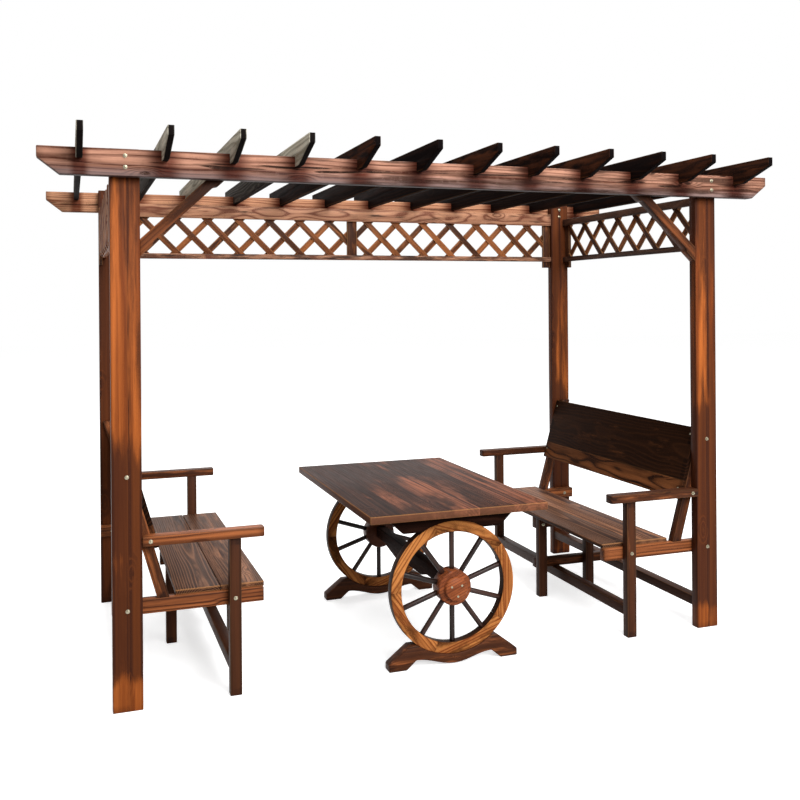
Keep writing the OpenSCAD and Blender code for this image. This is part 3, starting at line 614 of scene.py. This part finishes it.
low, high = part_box("rear_lattice")
width = high.x - low.x
fields = [(-width / 2 + batten_w, -stile_w / 2), (stile_w / 2, width / 2 - batten_w)]
panel = lattice_panel("rear_lattice", width, low.z + batten_drop, top_rail_h=0.068, fields=fields,
                      pitch=0.167, start=0.150, seed=0.29, rail_tones=(0.55, 0.3, 0.8),
                      bar_tones=(0.3, 0.6, 0.2, 0.5, 0.8, 0.4, 0.25), bar_fir=lattice_fir)
panel.location = (0, low.y, 0)
only(panel)
bpy.ops.object.transform_apply()
for node, hand, seed, rail_tones, bar_tones, bar_fir in (
    ("left_lattice", -1, 0.2, (0.0, 0.1, 0.6), (0.1, 0.3, 0.0, 0.2), rail_fir_painted_light),
    ("right_lattice", 1, 0.6, (1.1, 1.1, 0.9), (0.55, 0.7, 0.4, 0.8), lattice_fir),
):
    low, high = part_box(node)
    width = high.y - low.y
    fields = [(-width / 2 + batten_w, width / 2 - batten_w)]
    panel = lattice_panel(node, width, low.z + batten_drop, top_rail_h=0.038, fields=fields, pitch=0.176,
                          start=0.085, seed=seed, rail_tones=rail_tones, bar_tones=bar_tones,
                          bar_fir=bar_fir)
    panel.rotation_euler = (0, 0, -hand * math.pi / 2)
    panel.location = (low.x if hand > 0 else high.x, 0, 0)
    only(panel)
    bpy.ops.object.transform_apply()
    if hand < 0:
        # the left panel is the right one's mirror image
        panel.scale = (1, -1, 1)
        bpy.ops.object.transform_apply()
        bpy.ops.object.mode_set(mode="EDIT")
        bpy.ops.mesh.select_all(action="SELECT")
        bpy.ops.mesh.normals_make_consistent(inside=False)
        bpy.ops.object.mode_set(mode="OBJECT")

# Benches
# Each bench is built into one end: square rails and legs bolted to the posts, a seat of two
# wide boards, leaning stiles with a broad back glued up from two boards, and flat arms.
board_edge = 0.003
back_lean = math.radians(16)
back_board_w = 0.095
# square stock, torched on all sides: warm brown with close dark lines
bench_fir = fir("scorched_fir_brown", "#b46a3e", "#4c2819", "#2c1811", ring_mm=15.0, streak=0.9, burn=0.9,
                patch_mm=(240, 28), rough=0.4, heart_mm=(12, 16), wave_mm=14, bands=0.6, edge=0.2, edge_wear_and_highlight=0.12,
                specular=0.06)
# the same stock, held longer in the flame: umber, with edges drawn a little lighter by wear and a painted
# highlight
leg_fir = fir("scorched_fir_umber", "#9a5a36", "#53301f", "#2a1710", ring_mm=14.0, streak=0.5, burn=0.85,
              patch_mm=(250, 35), rough=0.42, heart_mm=(20, 60), wave_mm=12, edge=0.2, side=0.5, edge_wear_and_highlight=0.2,
              specular=0.06)
# seat boards scorched and brushed: dark, with lines of hard late wood standing light in the char
seat_fir = fir("scorched_fir_flamed", "#a87352", "#38221b", "#221613", ring_mm=8.0, streak=0.9, burn=0.9,
               patch_mm=(380, 60), rough=0.42, heart_mm=(50, 55), wave_mm=20, bands=0.6, edge=0.1,
               end_wear_and_highlight=0.9, specular=0.035, ridge=0.55)
# back boards: nearly black, with broad brown flames where the torch passed quickly
back_fir = fir("scorched_fir_dark_flamed", "#84502f", "#26150e", "#140b08", ring_mm=15.0, streak=1.0,
               burn=0.95, patch_mm=(300, 60), rough=0.5, heart_mm=(40, 60), bend_mm=(350, 120), bands=0.4,
               edge=0.1, edge_wear_and_highlight=0.1, specular=0.01)
bench_tones = {
    "left": {"rails": (0.15, 0.4, 0.7, 0.6), "legs": (1.2, 1.0, 1.1, 1.0), "arms": (0.2, 0.6),
             "seat": (0.8, 0.6), "back": (0.9, 0.28)},
    "right": {"rails": (0.6, 0.7, 0.1, 0.4), "legs": (0.9, 0.85, 0.95, 0.85), "arms": (0.75, 0.8),
              "seat": (1.0, 0.05), "back": (0.28, 0.9)},
}


def back_slope(side):
    """The lowest front corner of a back's box, and the direction up its slope."""
    low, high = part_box(side + "_bench_back")
    hand = 1 if side == "right" else -1
    foot = Vector((low.x if hand > 0 else high.x, 0, low.z))
    up = Vector((hand * math.sin(back_lean), 0, math.cos(back_lean)))
    return foot, up


for side, shift in (("left", 0.0), ("right", 0.47)):
    tones = bench_tones[side]
    for part, edge, seed, part_tones, wood in (
        ("rails", sawn_edge, shift, tones["rails"], bench_fir),
        ("legs", sawn_edge, shift + 0.13, tones["legs"], leg_fir),
        ("stretchers", sawn_edge, shift + 0.26, (0.85, 0.8), leg_fir),
        ("arms", sawn_edge, shift + 0.39, tones["arms"], bench_fir),
        ("back_stiles", sawn_edge, shift + 0.52, (0.75, 0.65), bench_fir),
        ("seat", board_edge, shift + 0.71, tones["seat"], seat_fir),
    ):
        finish(timber(side + "_bench_" + part, edge, seed, part_tones), wood)
    back = solid(side + "_bench_back")
    ease(back, board_edge)
    foot, up = back_slope(side)
    saw(back, up, [up.dot(foot) + back_board_w])
    write_grain(back, shift + 0.83, tones["back"])
    finish(back, back_fir)

# Table
# The top is glued up from five planks and varnished to a gloss. Two scroll-cut foot boards and
# two cleats with round seats hold the wheels, and a wavy axle beam joins the hubs.
top_soot = ((0.0, 0.0), (0.35, 0.05), (0.7, 0.35), (1.0, 0.35))
# planks under several coats of varnish: deep brown with broad dark clouds, smooth and even
top_fir = fir("glossy_scorched_fir", "#94593f", "#35201a", "#140b09", ring_mm=13.0, streak=0.6, burn=0.9,
              patch_mm=(420, 130), rough=0.36, heart_mm=(50, 60), wave_mm=22, bands=0.7, edge=0.0, end=0.0,
              side=0.4, side_hex="#8f6048", specular=0.012, scorch_and_shade=top_soot)
# fir scorched all over, in the table's shade: blackish brown with hardly a shine
deep_fir = fir("scorched_fir_deep", "#4e2f24", "#2a1813", "#140c0a", ring_mm=12.0, streak=0.6, burn=0.8,
               patch_mm=(300, 40), rough=0.45, edge=0.2, specular=0.005)
planks = 5
plank_edge = 0.004
on_face = 0.0001
top = solid("table_top")
ease(top, plank_edge)
low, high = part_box("table_top")
saw(top, (1, 0, 0), [low.x + (high.x - low.x) * number / planks for number in range(1, planks)])
write_grain(top, seed=0.27, tones=(0.9, 0.65, 0.35, 0.55, 0.2))
# the rounded edges all round are drawn light, partly as rubbed wear and partly as a painted
# highlight; a rounding's middle vertices lie on none of the top's own faces
rub = top.data.attributes.new("rub", "FLOAT", "POINT")
for spot, row in zip(top.data.vertices, rub.data):
    touches = [abs(a - b) < on_face for corner in (low, high) for a, b in zip(spot.co, corner)]
    row.value = 0.0 if any(touches) else 1.0
finish(top, top_fir)
finish(timber("table_feet", plank_edge, seed=0.58, tones=(0.72, 0.9)), bench_fir)
finish(timber("table_cleats", board_edge, seed=0.36, tones=(0.8, 0.9)), deep_fir)
finish(timber("table_axle", board_edge, seed=0.49, tones=(0.8,)), deep_fir)

# Wheels
# Five sawn felloes of light fir make a rim, its tread and inside charred. Ten turned spokes sit
# in its sockets, and the turned hub has a cap screwed to its outer face.
rim_edge, turned_edge = 0.0015, 0.001
# edges between a wheel's curved facets are left alone, and only the sharper ones eased
rim_sharp, hub_sharp = 40, 60
# the hubs' grain slants across their faces
hub_run = (0.92, 0, 0.39)
# light fir under clear varnish: yellow and orange with sharp dark rings, and black on its narrow sides
rim_fir = fir("varnished_light_fir", "#d78c4c", "#7c3d1e", "#341609", ring_mm=11.0, streak=1.0, burn=0.88,
              patch_mm=(110, 45), rough=0.4, heart_mm=(20, 50), wave_mm=18, edge=0.2, side=0.95,
              side_hex="#26140d", end=1.0, specular=0.03)
# spokes turned smooth and varnished: deep brown, with a line of gloss along each
spoke_fir = fir("varnished_turned_fir_deep", "#40261d", "#1f120e", "#100908", ring_mm=12.0, streak=0.6,
                burn=0.8, patch_mm=(120, 40), rough=0.3, edge=0.0, specular=0.2)
# hubs turned and varnished: red-brown with dark rings across their faces
hub_fir = fir("varnished_turned_fir", "#a85c34", "#66321c", "#2a150d", ring_mm=12.0, streak=0.9, burn=0.8,
              patch_mm=(90, 25), rough=0.4, heart_mm=(20, 40), wave_mm=15, edge=0.1, end=0.3)
for seed, wheel, tones in ((0.12, "front", (0.4, 0.25, 0.5, 0.45, 0.35)),
                           (0.53, "rear", (0.5, 0.35, 0.5, 0.3, 0.45))):
    rim = timber(wheel + "_wheel_rim", rim_edge, seed, tones, sharp=rim_sharp)
    finish(rim, rim_fir)
    spokes = timber(wheel + "_wheel_spokes", turned_edge, seed + 0.3, (0.5, 0.8, 0.3), sharp=rim_sharp)
    finish(spokes, spoke_fir)
# painted shade: the rear hub's tone of 1.2 draws it much darker, for the shade it stands in under the table;
# the front hub's is 0.3
hubs = timber("wheel_hubs", turned_edge, seed=0.21, tones=(0.3, 1.2), along=[hub_run], sharp=hub_sharp)
finish(hubs, hub_fir)

# Bolts and screws
# Zinc-plated bolts with washers and hexagon nuts hold the beams, rails, legs and arms; their
# round heads show on the other side. Cross-slotted screws hold the back boards and hub caps.
spangle_mm = 2.0
# zinc plating: a warm grey metal with dull and bright spangles
zinc = bare_material("zinc_plated_steel")
tree = zinc.node_tree
where = add(tree, "TexCoord").outputs["Object"]
spangle = add(tree, "TexNoise", {"Vector": where, "Scale": 1000 / spangle_mm, "Detail": 2.0})
plated = add(tree, "Mix", {0: spangle.outputs[0], 6: rgb("#b0a892"), 7: rgb("#6f6a58")}, data_type="RGBA")
dull = add(tree, "MapRange", {0: spangle.outputs[0], 1: 0.3, 2: 0.7, 3: 0.28, 4: 0.5})
shader = add(tree, "BsdfPrincipled", {
    "Base Color": plated.outputs[2], "Metallic": 1.0, "Roughness": dull.outputs[0]})
add(tree, "OutputMaterial", {0: shader.outputs[0]})


def turned(sides, radius, low, high, edge):
    """A round or six-sided disc with eased edges, standing on the level."""
    bpy.ops.object.select_all(action="DESELECT")
    bpy.ops.mesh.primitive_cylinder_add(vertices=sides, radius=radius, depth=high - low,
                                        location=(0, 0, (low + high) / 2))
    disc = bpy.context.object
    bpy.ops.object.transform_apply()
    ease(disc, edge)
    return disc


washer_t, nut_top, thread_top = 0.0016, 0.0066, 0.0110
screw_h = 0.0018
slot_l, slot_w, slot_h = 0.0052, 0.0012, 0.002
nut = turned(sides=20, radius=0.0080, low=0.0, high=washer_t, edge=0.0005)
hexagon = turned(sides=6, radius=0.0060, low=washer_t, high=nut_top, edge=0.0006)
thread = turned(sides=12, radius=0.0031, low=nut_top, high=thread_top, edge=0.0010)
only(nut, hexagon, thread)
bpy.ops.object.join()
bolt_head = turned(sides=20, radius=0.0080, low=0.0, high=0.0040, edge=0.0028)
screw = turned(sides=16, radius=0.0048, low=0.0, high=screw_h, edge=0.0008)
for size in ((slot_l, slot_w, slot_h), (slot_w, slot_l, slot_h)):
    bpy.ops.object.select_all(action="DESELECT")
    bpy.ops.mesh.primitive_cube_add(size=1, location=(0, 0, screw_h))
    slot = bpy.context.object
    slot.scale = size
    bpy.ops.object.transform_apply()
    only(screw)
    cut = screw.modifiers.new("cross", "BOOLEAN")
    cut.operation = "DIFFERENCE"
    cut.object = slot
    bpy.ops.object.modifier_apply(modifier=cut.name)
    bpy.data.objects.remove(slot)


def fix(name, model, spots):
    """Copies of one fastener, each set on a face at a spot and turned to stand off it."""
    copies = []
    for place, facing in spots:
        one = model.copy()
        one.data = model.data.copy()
        bpy.context.scene.collection.objects.link(one)
        stands = Vector(facing).to_track_quat("Z", "Y").to_matrix().to_4x4()
        one.matrix_world = Matrix.Translation(place) @ stands
        copies.append(one)
    only(*copies)
    bpy.ops.object.transform_apply()
    bpy.ops.object.join()
    group = bpy.context.object
    group.name = name
    bpy.ops.object.shade_smooth_by_angle(angle=smooth_angle)
    group.data.materials.append(zinc)
    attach(group, "root")


to_front, to_rear = (0, -1, 0), (0, 1, 0)
# heights of the bolts in beams, side rails, posts, front legs and back stiles
beam_bolts = (2.033, 2.075)
rail_bolt_z, post_bolt_z, leg_bolt_z, stile_bolt_z = 0.372, 0.376, 0.380, 0.878
side_rail_t = 0.038
front_leg_x, leg_half = 0.895, 0.023
mid_leg_front, mid_leg_rear = -0.040, 0.038
arm_bolt_in = 0.030
back_t = 0.020
back_screws_up, back_screw_y = (0.05, 0.31), 0.64
cap_screws = ((-0.024, 0.012), (0.022, 0.014), (0.004, -0.030))
nuts, heads, screws = [], [], []
beam_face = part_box("rear_beam")[1].y
for side, hand in (("left", -1), ("right", 1)):
    low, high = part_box("rear_%s_post" % side)
    post_x = (low.x + high.x) / 2
    post_in, post_out = low.y, high.y
    rail_in = post_in - side_rail_t
    for z in beam_bolts:
        nuts += [((post_x, -beam_face, z), to_front), ((post_x, post_in, z), to_front)]
        heads += [((post_x, -post_in, z), to_rear), ((post_x, beam_face, z), to_rear)]
    # bolts of rails and stiles through the posts
    nuts += [((post_x, -post_out, post_bolt_z), to_front), ((post_x, -post_out, stile_bolt_z), to_front),
             ((post_x, rail_in, rail_bolt_z), to_front)]
    heads += [((post_x, -rail_in, rail_bolt_z), to_rear), ((post_x, post_out, post_bolt_z), to_rear),
              ((post_x, post_out, stile_bolt_z), to_rear)]
    # bolts of the arms and of the front legs
    arm_low, arm_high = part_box(side + "_bench_arms")
    arm_x = (arm_high.x if hand > 0 else arm_low.x) - hand * arm_bolt_in
    arm_z = (arm_low.z + arm_high.z) / 2
    leg_low, leg_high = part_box(side + "_bench_legs")
    for arm_y, leg_y, facing in ((arm_low.y, leg_low.y, to_front), (arm_high.y, leg_high.y, to_rear)):
        nuts += [((arm_x, arm_y, arm_z), facing), ((hand * front_leg_x, leg_y, leg_bolt_z), facing)]
    # bolts of the middle legs
    for x in (leg_low.x + leg_half, leg_high.x - leg_half):
        nuts.append(((x, mid_leg_front, rail_bolt_z), to_front))
        heads.append(((x, mid_leg_rear, rail_bolt_z), to_rear))
    # two screws in each end of the back, one to each board, on its front face, which starts a
    # little above its box's corner
    foot, up = back_slope(side)
    foot.z += back_t * math.sin(back_lean)
    off_face = Vector((-hand * math.cos(back_lean), 0, math.sin(back_lean)))
    for reach in back_screws_up:
        screws += [(foot + up * reach + Vector((0, y, 0)), off_face) for y in (-back_screw_y, back_screw_y)]
low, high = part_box("wheel_hubs")
for y, facing in ((low.y, to_front), (high.y, to_rear)):
    for x, z in cap_screws:
        screws.append((((low.x + high.x) / 2 + x, y, (low.z + high.z) / 2 + z), facing))
fix("nuts", nut, nuts)
fix("bolt_heads", bolt_head, heads)
fix("cross_screws", screw, screws)
for model in (nut, bolt_head, screw):
    bpy.data.objects.remove(model)

# Floor and light
# A plain white studio floor that keeps a soft shadow, and an even white sky. Three broad soft
# lamps stand in front, above and behind.
bpy.context.scene.view_settings.view_transform = "Standard"


def is_seen(tree):
    """1 for a ray that shows a backdrop itself, straight, mirrored or through glass, and 0 for the rest."""
    path = add(tree, "LightPath")
    seen = add(tree, "Math", {0: path.outputs["Is Camera Ray"], 1: path.outputs["Is Glossy Ray"]},
               operation="MAXIMUM")
    seen = add(tree, "Math", {0: seen.outputs[0], 1: path.outputs["Is Transmission Ray"]},
               operation="MAXIMUM")
    return seen.outputs[0]


bpy.ops.object.select_all(action="DESELECT")
bpy.ops.mesh.primitive_plane_add(size=60, location=(0, 0, 0))
floor = bpy.context.object
floor.name = "floor"
# matt paper: even white that takes a soft shadow, and throws less light back than it shows
paper = bare_material("white_paper")
tree = paper.node_tree
white = add(tree, "BsdfDiffuse", {"Color": rgb("#f2f2f2")})
shade = add(tree, "BsdfDiffuse", {"Color": rgb("#787674")})
glow = add(tree, "Emission", {"Color": rgb("#ffffff"), "Strength": 0.62})
lit = add(tree, "AddShader", {0: white.outputs[0], 1: glow.outputs[0]})
mixed = add(tree, "MixShader", {0: is_seen(tree), 1: shade.outputs[0], 2: lit.outputs[0]})
add(tree, "OutputMaterial", {0: mixed.outputs[0]})
floor.data.materials.append(paper)

sky = bpy.data.worlds.new("white_sky")
bpy.context.scene.world = sky
sky.use_nodes = True
tree = sky.node_tree
tree.nodes.clear()
light = add(tree, "Background", {"Color": rgb("#ffffff"), "Strength": 0.42})
backdrop = add(tree, "Background", {"Color": rgb("#ffffff"), "Strength": 1.0})
mixed = add(tree, "MixShader", {0: is_seen(tree), 1: light.outputs[0], 2: backdrop.outputs[0]})
add(tree, "OutputWorld", {0: mixed.outputs[0]})

lamp_size = 4.0
lamp_aim = Vector((0.0, 0.0, 0.9))
for name, place, watts in (
    ("front_lamp", (1.5, -7.0, 4.5), 620.0),
    ("top_lamp", (-0.5, -1.5, 6.5), 200.0),
    ("rear_lamp", (2.0, 6.0, 6.5), 280.0),
):
    lamp = bpy.data.lights.new(name, "AREA")
    lamp.size = lamp_size
    lamp.energy = watts
    holder = bpy.data.objects.new(name, lamp)
    bpy.context.scene.collection.objects.link(holder)
    holder.location = place
    holder.rotation_euler = (lamp_aim - Vector(place)).to_track_quat("-Z", "Y").to_euler()
